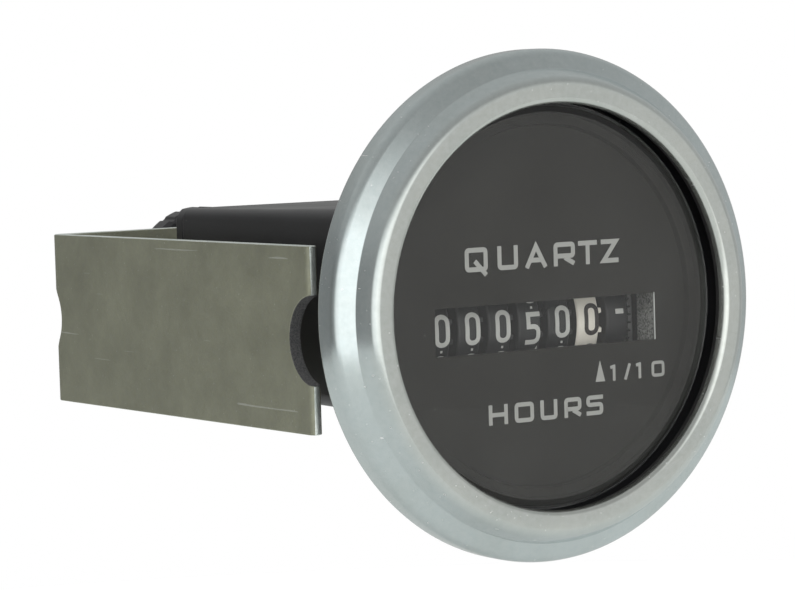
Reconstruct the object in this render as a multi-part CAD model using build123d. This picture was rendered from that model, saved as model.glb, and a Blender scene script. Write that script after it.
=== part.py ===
"""Round panel-mount quartz hour meter with a U-clamp, as an assembly of separate pieces.

Frame: the origin is on the meter's axis, at the rear face of the flange, where it meets the panel.
The dial faces -Y, the body runs back along +Y, and +Z is up. Everything is in millimetres.
"""

import os
from math import cos, pi, radians, sin, tan

from build123d import *

os.makedirs("parts", exist_ok=True)

# Bezel, lens and dial
BEZEL_R = 30.0
BEZEL_FRONT = -7.0
SHEET = 0.8
FLANGE_LIP_R = 27.2
LENS_R = 25.6
LENS_FRONT = -5.0
LENS_BACK = -3.4
GASKET_R = 23.75
DIAL_FACE = -2.1
DIAL_BACK = -1.1
DIAL_R = 23.4
WINDOW_X = (-15.2, 16.5)
WINDOW_Z = (-5.05, 0.55)
WINDOW_WALL = 1.0
WINDOW_DEPTH = 3.5

# Case: barrel that fills the panel hole, and the narrow housing behind it
BARREL_R = 25.0
BARREL_BACK = 6.8
CASE_FLANGE_R = 29.0
CASE_WALL = 1.3
HOUSING_X = 18.4
HOUSING_Z = 12.0
HOUSING_CORNER = 1.8
HOUSING_BACK = 50.8
DRAFT = 0.8
COVER_BACK = 52.6
COVER_SCREW_X = 14.6
COVER_SCREW_Z = 8.2
SCREW_HEAD_R = 1.9
BOSS_BACK = COVER_BACK + 2.4
BLADE_X = 11.0
BLADE_HALF = 3.15
BLADE_T = 0.8
BLADE_END = 61.0

# Counter
DRUM_AXIS = (8.7, -2.5)
DRUM_R = 7.8
DRUM_EDGE = 0.35
DRUM_PITCH = 4.3
DRUM_BAND = 3.2
FIRST_DRUM_X = -12.6
DRUM_NAMES = ("ten_thousands", "thousands", "hundreds", "tens", "units", "tenths", "run")
SHAFT_R = 1.0
RUNNING = 0.05
CARRY_SHAFT_R = 0.75
CARRY_MODULE = 0.7
DRUM_TEETH = 20
CARRY_TEETH = 8
CARRY_AXIS = (DRUM_AXIS[0] + CARRY_MODULE * (DRUM_TEETH + CARRY_TEETH) / 2, DRUM_AXIS[1])
LOCK_DISC_R = 6.2
GEAR_FACE = 0.5
PLATE_T = 0.6
LEFT_PLATE_X = -15.4
RIGHT_PLATE_X = 15.6
PLATE_Y = (2.0, 31.0)
PLATE_Z = 10.0
TIE_BARS = ((4.6, 7.6), (17.5, -8.6), (29.8, 3.2), (29.8, -4.0))
TIE_BAR_R = 1.2
RIVET_R = 0.8

# Gear train from the motor to the run drum, 30 to 1
TRAIN_MODULE = 0.3
RUN_TEETH = 50
IDLER_PINION_TEETH = 10
IDLER_WHEEL_TEETH = 48
ROTOR_TEETH = 8
TRAIN_X = DRUM_PITCH * 6 + FIRST_DRUM_X + DRUM_BAND / 2
WHEEL_X = (16.3, 16.65)
IDLER_ANGLE = 33.0
ROTOR_ANGLE = -16.0
ARBOR_R = 0.5
ROTOR_ARBOR_R = 0.4


def at_angle(centre, reach, angle):
    """The point that lies `reach` from a centre, at an angle above straight back, in (y, z)."""
    return (centre[0] + reach * cos(radians(angle)), centre[1] + reach * sin(radians(angle)))


IDLER_AXIS = at_angle(DRUM_AXIS, TRAIN_MODULE * (RUN_TEETH + IDLER_PINION_TEETH) / 2, IDLER_ANGLE)
ROTOR_AXIS = at_angle(IDLER_AXIS, TRAIN_MODULE * (IDLER_WHEEL_TEETH + ROTOR_TEETH) / 2, ROTOR_ANGLE)

# Motor and electronics
MOTOR_X = 8.2
STATOR_T = 1.0
STATOR_HALF = 3.6
MAGNET_R = 2.2
COIL_X = MOTOR_X + 1.5 * STATOR_T
COIL_Y = 35.5
COIL_Z = 7.0
BOARD_Y = (42.4, 43.4)

# Clamp
CLAMP_X = 27.0
CLAMP_T = 1.6
CLAMP_W = 21.8
CLAMP_FRONT = 6.9
CLAMP_BACK = 70.1
CLAMP_HOLE_R = 5.25
CLAMP_DROP = -2.7
CLAMP_BEND = 1.2
STUD_R = 2.5
STUD_END = 83.0
WASHER_Y = (70.15, 71.35)
SPRING_Y = (WASHER_Y[1], 72.6)
NUT_FRONT = 72.65
NUT_RIM_FRONT = 75.2
NUT_BACK = 79.0
NUT_HUB_R = 6.2
NUT_R = 10.5
FLUTES = 24


def save(name, shape):
    """Writes one sub-part. A list is a group of separate solids."""
    if isinstance(shape, list):
        shape = Compound(children=[solid for piece in shape for solid in piece.solids()])
    export_step(shape, f"parts/{name}.step")


def turned(points):
    """A closed (radius, y) outline turned about the Y axis."""
    return revolve(make_face(Polyline(*points, close=True)), Axis.Y)


def rod_y(radius, y0, y1, x=0.0, z=0.0):
    return Solid.make_cylinder(radius, y1 - y0, Plane(origin=(x, y0, z), z_dir=(0, 1, 0)))


def rod_x(radius, x0, x1, y, z):
    return Solid.make_cylinder(radius, x1 - x0, Plane(origin=(x0, y, z), z_dir=(1, 0, 0)))


def rod_z(radius, z0, z1, x, y):
    return Solid.make_cylinder(radius, z1 - z0, Plane(origin=(x, y, z0), z_dir=(0, 0, 1)))


def block(x, y, z):
    """A box from three (low, high) pairs."""
    spans = [high - low for low, high in (x, y, z)]
    middle = [(low + high) / 2 for low, high in (x, y, z)]
    return Pos(*middle) * Box(*spans)


def rounded_slab(half_x, half_z, corner, y0, y1, taper=0.0):
    """A rounded rectangle across the axis, drawn back from y0 to y1."""
    plane = Plane(origin=(0, y0, 0), x_dir=(1, 0, 0), z_dir=(0, 1, 0))
    return extrude(plane * RectangleRounded(2 * half_x, 2 * half_z, corner), y1 - y0, taper=taper)


def gear(teeth, module, x0, x1, axis, turn=0.0, tooth=0.5, tip=0.85, root=1.15, skip=1):
    """A spur gear along X. Its straight-sided teeth are `tooth` of half a pitch wide at the pitch line."""
    pitch_r = module * teeth / 2
    tip_r = pitch_r + tip * module
    root_r = pitch_r - root * module
    half_pitch = pi * module / 2
    root_half = half_pitch * tooth * 0.66
    tip_half = half_pitch * tooth * 0.3
    body = rod_x(root_r, x0, x1, *axis)
    plane = Plane(origin=(x0, *axis), x_dir=(0, 1, 0), z_dir=(1, 0, 0))
    for k in range(0, teeth, skip):
        corners = [
            (root_r * 0.9, -root_half),
            (tip_r, -tip_half),
            (tip_r, tip_half),
            (root_r * 0.9, root_half),
        ]
        outline = make_face(Polyline(*corners, close=True))
        angle = turn + 360.0 * k / teeth
        body += extrude(plane * (Rot(0, 0, angle) * outline), x1 - x0)
    return body


def train_gear(teeth, x0, x1, axis, turn):
    """A fine-pitch gear of the train from the motor to the run drum."""
    return gear(teeth, TRAIN_MODULE, x0, x1, axis, turn=turn, tooth=0.75, tip=0.8)


def housing_half(size, y):
    """Half width or height of the drafted housing at y."""
    return size - (y - BARREL_BACK) * tan(radians(DRAFT))


# Front: bezel, gasket, lens, dial

def bezel():
    """Rolled ring: rear lip, rim, sloping face, step wall, front ring and a short turned-in lip."""
    middle = [
        (FLANGE_LIP_R + 0.4, -SHEET / 2),
        (BEZEL_R - SHEET / 2, -SHEET / 2),
        (BEZEL_R - SHEET / 2, -3.35),
        (27.35, -4.4),
        (26.2, BEZEL_FRONT + SHEET / 2),
        (24.0, BEZEL_FRONT + SHEET / 2),
        (24.0, -6.14),
    ]
    path = FilletPolyline(*middle, radius=[0.5, 0.9, 0.5, 0.8, 0.4])
    outline = make_face(offset(path, SHEET / 2, side=Side.BOTH))
    return revolve(outline, Axis.Y)


def lens_gasket():
    """Ring between the bezel's front and the lens, with a thinner inner edge that shows inside the lip."""
    return turned([
        (GASKET_R, -5.7),
        (24.6, -5.7),
        (24.6, BEZEL_FRONT + SHEET),
        (25.5, BEZEL_FRONT + SHEET),
        (25.5, LENS_FRONT),
        (GASKET_R, LENS_FRONT),
    ])


def lens():
    disc = rod_y(LENS_R, LENS_FRONT, LENS_BACK)
    return chamfer(disc.edges().filter_by(GeomType.CIRCLE), 0.2)


def dial():
    """Moulded disc with a stepped rim, and a window whose two ends have walls that reach back."""
    disc = turned([
        (0, DIAL_FACE),
        (21.1, DIAL_FACE),
        (21.3, -2.8),
        (22.4, -2.8),
        (22.6, LENS_BACK),
        (DIAL_R, LENS_BACK),
        (DIAL_R, DIAL_BACK),
        (0, DIAL_BACK),
    ])
    (x0, x1), (z0, z1) = WINDOW_X, WINDOW_Z
    for low, high in ((x0 - WINDOW_WALL, x0), (x1, x1 + WINDOW_WALL)):
        disc += block((low, high), (DIAL_BACK - 0.5, DIAL_FACE + WINDOW_DEPTH), (z0 - 0.6, z1 + 0.6))
    disc -= block(WINDOW_X, (DIAL_FACE - 1, DIAL_BACK + 0.1), WINDOW_Z)
    return disc


# Case and rear cover

def case():
    """One moulding: flange and lens seat, barrel, floor, and the drafted housing open at the rear."""
    shell = turned([
        (0, BARREL_BACK),
        (BARREL_R, BARREL_BACK),
        (BARREL_R, -SHEET),
        (CASE_FLANGE_R, -SHEET),
        (CASE_FLANGE_R, -2.9),
        (LENS_R, -2.9),
        (LENS_R, LENS_BACK),
        (0, LENS_BACK),
    ])
    shell += rounded_slab(HOUSING_X, HOUSING_Z, HOUSING_CORNER, BARREL_BACK, HOUSING_BACK, DRAFT)
    shell -= rod_y(DIAL_R + 0.1, LENS_BACK - 1, DIAL_BACK)
    shell -= rod_y(BARREL_R - 3.5, DIAL_BACK - 0.1, BARREL_BACK - 1.6)
    shell -= rounded_slab(HOUSING_X - CASE_WALL, HOUSING_Z - CASE_WALL, 0.8, 5.0, HOUSING_BACK + 1, DRAFT)
    for x in (-COVER_SCREW_X, COVER_SCREW_X):
        for z in (-COVER_SCREW_Z, COVER_SCREW_Z):
            boss = rod_y(1.9, 44.0, HOUSING_BACK, x, z)
            web_z = (z, z + 2.4) if z > 0 else (z - 2.4, z)
            shell += boss + block((x - 1.0, x + 1.0), (44.0, HOUSING_BACK), web_z)
            shell -= rod_y(0.8, 44.8, HOUSING_BACK + 1, x, z)
    return shell


def rear_cover():
    """Plate over the housing's open end, with the stud boss and the slots for the blades."""
    half_x = housing_half(HOUSING_X, HOUSING_BACK)
    half_z = housing_half(HOUSING_Z, HOUSING_BACK)
    cover = rounded_slab(half_x, half_z, HOUSING_CORNER, HOUSING_BACK, COVER_BACK)
    cover += rod_y(5.0, COVER_BACK, BOSS_BACK)
    cover += rod_y(4.6, 45.6, HOUSING_BACK)
    cover -= rod_y(STUD_R, 48.2, COVER_BACK + 3)
    cover -= rod_y(3.6, 45.0, 48.2)
    for x in (-COVER_SCREW_X, COVER_SCREW_X):
        for z in (-COVER_SCREW_Z, COVER_SCREW_Z):
            cover -= rod_y(1.05, HOUSING_BACK - 1, COVER_BACK + 1, x, z)
    for x in (-BLADE_X, BLADE_X):
        slot = (x - BLADE_HALF, x + BLADE_HALF)
        cover -= block(slot, (HOUSING_BACK - 1, COVER_BACK + 1), (-BLADE_T / 2, BLADE_T / 2))
    return cover


def cover_screws():
    """Four pan-head self-tapping screws."""
    screws = []
    for x in (-COVER_SCREW_X, COVER_SCREW_X):
        for z in (-COVER_SCREW_Z, COVER_SCREW_Z):
            head = rod_y(SCREW_HEAD_R, COVER_BACK, COVER_BACK + 1.3, x, z)
            head = fillet(head.edges().filter_by(GeomType.CIRCLE).sort_by(Axis.Y)[-1], 0.6)
            screw = head + rod_y(0.8, 46.0, COVER_BACK + 0.1, x, z)
            for long, short in ((1.2, 0.2), (0.2, 1.2)):
                slot = (COVER_BACK + 0.6, COVER_BACK + 2)
                screw -= block((x - long, x + long), slot, (z - short, z + short))
            screws.append(screw)
    return screws


def terminal_blade(x):
    """Push-on blade, 6.3 by 0.8, with shoulders inside the cover and a solder tag."""
    thick = (-BLADE_T / 2, BLADE_T / 2)
    blade = block((x - BLADE_HALF, x + BLADE_HALF), (HOUSING_BACK, BLADE_END), thick)
    blade -= rod_z(0.9, -2, 2, x, BLADE_END - 3.8)
    blade += block((x - 4.0, x + 4.0), (HOUSING_BACK - 0.8, HOUSING_BACK), thick)
    blade += block((x - 0.9, x + 0.9), (46.6, HOUSING_BACK), thick)
    for side in (-1, 1):
        edge = x + side * BLADE_HALF
        tip = (edge - side * 0.9, BLADE_END)
        corner = Polyline((edge, BLADE_END), tip, (edge, BLADE_END - 1.8), close=True)
        blade -= extrude(Plane(origin=(0, 0, -1)) * make_face(corner), 2)
    return blade


# Clamp: stud, strap, washers and thumb nut

def clamp_stud():
    """Stud with its head held inside the rear cover."""
    return rod_y(STUD_R, 47.5, STUD_END - 0.5) + rod_y(3.5, 46.0, 48.2) + rod_y(2.0, STUD_END - 0.6, STUD_END)


def clamp_strap():
    """U-shaped strap: a notch in each front end, a hole across each bend and one in the web."""
    low_z, high_z = CLAMP_DROP - CLAMP_W / 2, CLAMP_DROP + CLAMP_W / 2
    path = FilletPolyline(
        (-CLAMP_X + CLAMP_T / 2, CLAMP_FRONT),
        (-CLAMP_X + CLAMP_T / 2, CLAMP_BACK - CLAMP_T / 2),
        (CLAMP_X - CLAMP_T / 2, CLAMP_BACK - CLAMP_T / 2),
        (CLAMP_X - CLAMP_T / 2, CLAMP_FRONT),
        radius=CLAMP_BEND,
    )
    outline = offset(path, CLAMP_T / 2, side=Side.BOTH, kind=Kind.INTERSECTION)
    strap = extrude(Plane(origin=(0, 0, low_z)) * make_face(outline), high_z - low_z)
    for side in (-1, 1):
        x0, x1 = sorted((side * (CLAMP_X - 4), side * (CLAMP_X + 1)))
        strap -= rod_x(CLAMP_HOLE_R, x0, x1, CLAMP_FRONT - 1.55, CLAMP_DROP)
        strap -= rod_x(CLAMP_HOLE_R, x0, x1, CLAMP_BACK + 2.6, CLAMP_DROP)
        web_y = CLAMP_BACK - CLAMP_T - 0.2
        strap -= rod_y(CLAMP_HOLE_R, web_y, CLAMP_BACK + 1, side * (CLAMP_X - 4.6), CLAMP_DROP)
    strap -= rod_y(CLAMP_HOLE_R, CLAMP_BACK - 4, CLAMP_BACK + 1, 0, CLAMP_DROP)
    return strap


def plain_washer():
    return rod_y(9.0, *WASHER_Y) - rod_y(STUD_R + 0.15, 70, 72)


def spring_washer():
    """Ring with a narrow split."""
    ring = rod_y(4.6, *SPRING_Y) - rod_y(STUD_R + 0.2, 71, 73)
    return ring - block((2.4, 5.0), (71, 73), (-0.3, 0.3))


def thumb_nut():
    """Round nut with a hub and a fluted rim."""
    body = turned([
        (STUD_R + RUNNING, NUT_FRONT),
        (NUT_HUB_R, NUT_FRONT),
        (NUT_HUB_R, NUT_RIM_FRONT),
        (NUT_R - 0.5, NUT_RIM_FRONT),
        (NUT_R, NUT_RIM_FRONT + 0.5),
        (NUT_R, NUT_BACK - 0.7),
        (NUT_R - 0.7, NUT_BACK),
        (STUD_R + RUNNING, NUT_BACK),
    ])
    for k in range(FLUTES):
        place = at_angle((0, 0), NUT_R + 0.25, 360 * k / FLUTES)
        body -= rod_y(0.55, NUT_RIM_FRONT - 0.2, NUT_BACK + 0.2, *place)
    return body


# Counter

def drum_x(k):
    return FIRST_DRUM_X + k * DRUM_PITCH


def drum(k):
    """Number drum: the digit band, a gear on its right and a plain disc on its left."""
    x = drum_x(k)
    band = (x - DRUM_BAND / 2, x + DRUM_BAND / 2)
    body = rod_x(DRUM_R, *band, *DRUM_AXIS)
    body = fillet(body.edges().filter_by(GeomType.CIRCLE), DRUM_EDGE)
    if DRUM_NAMES[k] == "run":
        body += train_gear(RUN_TEETH, band[1], band[1] + GEAR_FACE, DRUM_AXIS, IDLER_ANGLE)
    else:
        face = (band[1], band[1] + GEAR_FACE)
        body += gear(DRUM_TEETH, CARRY_MODULE, *face, DRUM_AXIS, turn=180 / DRUM_TEETH, tooth=0.85)
    if k:
        body += rod_x(LOCK_DISC_R, band[0] - 0.48, band[0], *DRUM_AXIS)
    body += rod_x(2.0, x - DRUM_PITCH / 2 + 0.05, x + DRUM_PITCH / 2 - 0.05, *DRUM_AXIS)
    for side in (0, 1):
        low = (band[0] - 1, band[0] + 1.0) if side == 0 else (band[1] - 1.0, band[1] + 1)
        body -= rod_x(5.2, *low, *DRUM_AXIS) - rod_x(2.0, low[0] - 1, low[1] + 1, *DRUM_AXIS)
    return body - rod_x(SHAFT_R + RUNNING, band[0] - 2, band[1] + 2, *DRUM_AXIS)


def carry_pinion(k):
    """Pinion right of drum k: eight teeth on the gear side, and four on the next drum's disc side."""
    x = drum_x(k) + DRUM_PITCH / 2
    body = gear(CARRY_TEETH, CARRY_MODULE, x - 0.46, x + 0.01, CARRY_AXIS, tooth=0.65)
    body += gear(CARRY_TEETH, CARRY_MODULE, x + 0.01, x + 0.46, CARRY_AXIS, tooth=0.65, skip=2)
    body += rod_x(1.3, x - 1.9, x + 1.9, *CARRY_AXIS)
    return body - rod_x(CARRY_SHAFT_R + RUNNING, x - 3, x + 3, *CARRY_AXIS)


def side_plate(x0):
    """Counter frame plate with bearing holes for the shafts that cross it."""
    plate = block((x0, x0 + PLATE_T), PLATE_Y, (-PLATE_Z, PLATE_Z))
    for axis, radius in plate_holes(x0):
        plate -= rod_x(radius, x0 - 1, x0 + 2, *axis)
    return plate


def plate_holes(x0):
    holes = [(DRUM_AXIS, SHAFT_R), (CARRY_AXIS, CARRY_SHAFT_R), (IDLER_AXIS, ARBOR_R + RUNNING)]
    holes += [(place, RIVET_R) for place in TIE_BARS]
    if x0 > 0:
        holes.append((ROTOR_AXIS, ROTOR_ARBOR_R + RUNNING))
    return holes


def tie_bars():
    """Four spacers that hold the plates apart, with their ends riveted over."""
    bars = []
    for place in TIE_BARS:
        bar = rod_x(TIE_BAR_R, LEFT_PLATE_X + PLATE_T, RIGHT_PLATE_X, *place)
        bars.append(bar + rod_x(RIVET_R, LEFT_PLATE_X - 0.3, RIGHT_PLATE_X + PLATE_T + 0.05, *place))
    return bars


def drum_shaft():
    return rod_x(SHAFT_R, LEFT_PLATE_X - 0.9, RIGHT_PLATE_X + PLATE_T + 0.05, *DRUM_AXIS)


def carry_shaft():
    return rod_x(CARRY_SHAFT_R, LEFT_PLATE_X - 0.9, RIGHT_PLATE_X + PLATE_T + 0.05, *CARRY_AXIS)


def shaft_clips():
    """Push-on clips on the left ends of the two shafts."""
    clips = []
    for axis, bore in ((DRUM_AXIS, SHAFT_R), (CARRY_AXIS, CARRY_SHAFT_R)):
        ring = rod_x(bore + 1.2, LEFT_PLATE_X - 0.4, LEFT_PLATE_X, *axis)
        clips.append(ring - rod_x(bore, LEFT_PLATE_X - 1, LEFT_PLATE_X + 1, *axis))
    return clips


def idler_arbor():
    return rod_x(ARBOR_R, LEFT_PLATE_X, WHEEL_X[1] + 0.1, *IDLER_AXIS)


def idler_pinion():
    phase = IDLER_ANGLE + 180 + 180 / IDLER_PINION_TEETH
    pinion = train_gear(IDLER_PINION_TEETH, TRAIN_X, TRAIN_X + GEAR_FACE + 0.05, IDLER_AXIS, phase)
    return pinion - rod_x(ARBOR_R, TRAIN_X - 1, TRAIN_X + 2, *IDLER_AXIS)


def idler_wheel():
    wheel = train_gear(IDLER_WHEEL_TEETH, *WHEEL_X, IDLER_AXIS, ROTOR_ANGLE + 180 / IDLER_WHEEL_TEETH)
    for k in range(4):
        wheel -= rod_x(1.6, 15, 17, *at_angle(IDLER_AXIS, 3.8, 45 + 90 * k))
    return wheel - rod_x(ARBOR_R, 15, 17, *IDLER_AXIS)


def rotor_arbor():
    return rod_x(ROTOR_ARBOR_R, MOTOR_X - 2.0, WHEEL_X[1] + 0.1, *ROTOR_AXIS)


def rotor_pinion():
    pinion = train_gear(ROTOR_TEETH, WHEEL_X[0] - 0.05, WHEEL_X[1] + 0.05, ROTOR_AXIS, ROTOR_ANGLE + 180)
    return pinion - rod_x(ROTOR_ARBOR_R, 15, 17, *ROTOR_AXIS)


def rotor_magnet():
    magnet = rod_x(MAGNET_R, MOTOR_X - 0.6, MOTOR_X + 1.4, *ROTOR_AXIS)
    return magnet - rod_x(ROTOR_ARBOR_R, MOTOR_X - 2, MOTOR_X + 2, *ROTOR_AXIS)


# Motor

def stator():
    """Soft-iron plate with the rotor hole, and two arms that reach the coil core's ends."""
    y0, z0 = ROTOR_AXIS
    x = (MOTOR_X, MOTOR_X + STATOR_T)
    front = y0 - STATOR_HALF
    plate = block(x, (front, y0 + STATOR_HALF), (z0 - STATOR_HALF, z0 + STATOR_HALF))
    for side in (-1, 1):
        low, high = sorted((side * (COIL_Z + 0.2), side * (COIL_Z + 2.2)))
        plate += block(x, (front, COIL_Y + 1.6), (low, high))
        low, high = sorted((z0 + side * 3.0, side * (COIL_Z + 0.5)))
        plate += block(x, (front, y0 + 0.6), (low, high))
    plate -= rod_x(MAGNET_R + 0.35, x[0] - 1, x[1] + 1, y0, z0)
    plate -= block((x[0] - 1, x[1] + 1), (y0 - 0.25, y0 + 0.25), (z0 + MAGNET_R, z0 + 3.0))
    return plate


def coil_core():
    return block((MOTOR_X + STATOR_T, MOTOR_X + 2 * STATOR_T), (COIL_Y - 1.5, COIL_Y + 1.5), (-9.2, 9.2))


def tube_z(outer, inner, z0, z1, x, y):
    return rod_z(outer, z0, z1, x, y) - rod_z(inner, z0, z1, x, y)


def coil_bobbin():
    """Moulded tube and two flanges, with a slot for the core."""
    bobbin = rod_z(2.3, -COIL_Z, COIL_Z, COIL_X, COIL_Y)
    for low, high in ((-COIL_Z, -COIL_Z + 0.7), (COIL_Z - 0.7, COIL_Z)):
        bobbin += tube_z(4.0, 2.0, low, high, COIL_X, COIL_Y)
    slot_x = (MOTOR_X + STATOR_T, MOTOR_X + 2 * STATOR_T)
    return bobbin - block(slot_x, (COIL_Y - 1.5, COIL_Y + 1.5), (-10, 10))


def coil_winding():
    return tube_z(3.6, 2.3, -COIL_Z + 0.7, COIL_Z - 0.7, COIL_X, COIL_Y)


def motor_cradle():
    """Moulded block on the two rear spacers, which carries the stator and the rotor's inner bearing."""
    y0, z0 = ROTOR_AXIS
    cradle = block((MOTOR_X - 3.2, MOTOR_X - 1.4), (y0 - 2.0, y0 + 7.5), (-9.6, 9.6))
    for z in (-9.6, 7.2):
        cradle += block((MOTOR_X - 3.2, MOTOR_X), (y0 + 2.0, y0 + 6.0), (z, z + 2.4))
    cradle -= rod_x(ROTOR_ARBOR_R + RUNNING, MOTOR_X - 2.4, MOTOR_X, y0, z0)
    for place in TIE_BARS[2:]:
        cradle -= rod_x(TIE_BAR_R, MOTOR_X - 4, MOTOR_X + 1, *place)
    return cradle


# Electronics

def circuit_board():
    board = block((-15.0, 15.0), BOARD_Y, (-9.4, 9.4))
    for x in (-BLADE_X, BLADE_X):
        board -= rod_y(0.5, 42, 44, x, 2.5)
    return board


def quartz_crystal():
    """Cylinder can lying on the board's front face, with its base and two leads."""
    can = rod_z(1.5, -3.5, 4.0, -7.5, 40.9)
    base = rod_z(1.3, -3.9, -3.5, -7.5, 40.9)
    leads = [block((x - 0.15, x + 0.15), (40.8, 41.1), (-5.6, -3.9)) for x in (-8.1, -6.9)]
    feet = [block((x - 0.15, x + 0.15), (40.8, 42.4), (-5.9, -5.6)) for x in (-8.1, -6.9)]
    return can + base + leads[0] + feet[0] + leads[1] + feet[1]


def driver_chip():
    """Eight-lead surface-mount package."""
    chip = block((-2.5, 2.5), (40.7, 42.3), (-7.6, -3.8))
    for k in range(4):
        x = -1.905 + 1.27 * k
        chip += block((x - 0.2, x + 0.2), (41.6, 41.8), (-8.6, -2.8))
        for z in (-8.8, -2.8):
            chip += block((x - 0.2, x + 0.2), (41.6, 42.4), (z, z + 0.2))
    return chip


def smoothing_capacitor():
    can = rod_y(3.1, 35.5, 42.0, -1.0, 4.6)
    can = fillet(can.edges().filter_by(GeomType.CIRCLE).sort_by(Axis.Y)[0], 0.5)
    return can + rod_y(0.25, 41.9, 42.4, -2.25, 4.6) + rod_y(0.25, 41.9, 42.4, 0.25, 4.6)


def resistors():
    """Dropping resistors, standing off the board beside the capacitor."""
    bodies = []
    for x in (4.4, 7.2):
        bodies.append(block((x - 0.8, x + 0.8), (41.8, 42.4), (-5.5, -2.3)))
    return bodies


def protection_diode():
    lead_x = (5.65, 5.95)
    diode = rod_z(0.9, 1.0, 4.2, 5.8, 41.4)
    diode += block(lead_x, (41.3, 41.6), (-0.4, 5.6))
    diode += block(lead_x, (41.3, BOARD_Y[0]), (-0.6, -0.3))
    return diode + block(lead_x, (41.3, BOARD_Y[0]), (5.4, 5.7))


def supply_leads():
    """Tinned wires from the blades' tags to the board."""
    wires = []
    for x in (-BLADE_X, BLADE_X):
        wide = (x - 0.35, x + 0.35)
        wire = block(wide, (45.0, 47.2), (0.4, 1.1))
        wire += block(wide, (45.0, 45.7), (0.4, 2.85))
        wires.append(wire + block(wide, (42.2, 45.7), (2.15, 2.85)))
    return wires


def board_posts():
    """Two moulded posts between the board and the rear cover."""
    return [rod_y(1.4, BOARD_Y[1], HOUSING_BACK, x, -6.0) for x in (-7.5, 7.5)]


SINGLE_PIECES = (
    bezel, lens_gasket, lens, dial, case, rear_cover, cover_screws, clamp_stud, clamp_strap, plain_washer,
    spring_washer, thumb_nut, tie_bars, drum_shaft, carry_shaft, shaft_clips, idler_arbor, idler_pinion,
    idler_wheel, rotor_arbor, rotor_pinion, rotor_magnet, stator, coil_core, coil_bobbin, coil_winding,
    motor_cradle, circuit_board, quartz_crystal, driver_chip, smoothing_capacitor, resistors,
    protection_diode, supply_leads, board_posts,
)


def build():
    for make in SINGLE_PIECES:
        save(make.__name__, make())
    save("terminal_blade_left", terminal_blade(-BLADE_X))
    save("terminal_blade_right", terminal_blade(BLADE_X))
    save("left_plate", side_plate(LEFT_PLATE_X))
    save("right_plate", side_plate(RIGHT_PLATE_X))
    for k, name in enumerate(DRUM_NAMES):
        save(f"{name}_drum", drum(k))
    for k, name in enumerate(DRUM_NAMES[:-1]):
        save(f"{name}_carry_pinion", carry_pinion(k))


build()
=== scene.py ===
"""Round panel-mount hour meter: the looks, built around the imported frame.

The axis of the meter is Y, the dial faces -Y, and +Z is up. Lengths are in metres.
Run it as a script. It registers its operators, runs them in order and leaves the scene ready to render.
"""

from math import cos, pi, radians, sin, tan

import bmesh
import bpy
from bpy.props import FloatProperty, FloatVectorProperty, PointerProperty
from mathutils import Matrix, Vector


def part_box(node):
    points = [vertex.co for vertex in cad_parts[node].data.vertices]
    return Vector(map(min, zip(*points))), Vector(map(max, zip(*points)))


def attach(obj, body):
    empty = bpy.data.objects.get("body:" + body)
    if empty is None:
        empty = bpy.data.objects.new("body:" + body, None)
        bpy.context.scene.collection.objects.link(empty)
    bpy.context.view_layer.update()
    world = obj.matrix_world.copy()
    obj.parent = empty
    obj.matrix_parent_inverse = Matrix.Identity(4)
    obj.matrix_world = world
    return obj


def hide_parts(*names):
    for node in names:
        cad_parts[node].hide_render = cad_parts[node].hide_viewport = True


bl_info = {
    "name": "Hour Meter",
    "version": (1, 0, 0),
    "blender": (4, 5, 0),
    "location": "View3D > Sidebar > Hour Meter",
    "description": "Builds the visible pieces of a round panel-mount hour meter around its frame",
    "category": "Add Mesh",
}

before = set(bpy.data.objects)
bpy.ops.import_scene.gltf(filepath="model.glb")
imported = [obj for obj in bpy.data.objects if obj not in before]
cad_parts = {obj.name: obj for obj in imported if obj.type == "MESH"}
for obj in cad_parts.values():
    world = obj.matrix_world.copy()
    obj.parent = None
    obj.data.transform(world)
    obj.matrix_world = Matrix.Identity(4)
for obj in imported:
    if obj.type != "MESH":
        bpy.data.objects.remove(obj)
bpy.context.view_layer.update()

MM = 0.001
AXIS = Vector((0, 1, 0))
FINE_STEPS = 192
DRUMS = ("ten_thousands", "thousands", "hundreds", "tens", "units", "tenths", "run")
READING = (0, 0, 0, 5, 0, 0)
TENTHS_OF_TURN = range(-4, 6)
DIAL_FACE = -2.1 * MM
WINDOW_RIGHT = 16.5 * MM
WINDOW_LOW = -5.05 * MM
WINDOW_HIGH = 0.55 * MM
PRINT_DEPTH = 0.03 * MM


def low(node):
    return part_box(node)[0]


def high(node):
    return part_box(node)[1]


# Settings

class BezelSettings(bpy.types.PropertyGroup):
    sheet: FloatProperty(
        name="Sheet", description="Thickness of the rolled sheet", default=0.8 * MM, unit="LENGTH",
    )
    step: FloatProperty(
        name="Step radius", description="Radius at the foot of the step, on the sheet's middle",
        default=27.35 * MM, unit="LENGTH",
    )
    ring: FloatProperty(
        name="Ring radius",
        description="Radius at the outer corner of the front ring, on the sheet's middle",
        default=26.2 * MM,
        unit="LENGTH",
    )
    lip: FloatProperty(
        name="Lip radius", description="Radius of the turned-in lip, on the sheet's middle",
        default=24.0 * MM, unit="LENGTH",
    )
    plate_colour: FloatVectorProperty(
        name="Plate colour", description="Colour of the bright zinc plate",
        default=(0.66, 0.70, 0.69), subtype="COLOR",
    )


class DialSettings(bpy.types.PropertyGroup):
    ink_height: FloatProperty(
        name="Ink height", description="How far the printed strokes stand above the dial",
        default=0.04 * MM, unit="LENGTH",
    )
    ink_colour: FloatVectorProperty(
        name="Ink colour", description="Colour of the printed legends",
        default=(0.40, 0.40, 0.38), subtype="COLOR",
    )
    face_colour: FloatVectorProperty(
        name="Face colour", description="Colour of the moulded dial",
        default=(0.016, 0.015, 0.013), subtype="COLOR",
    )


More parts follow.
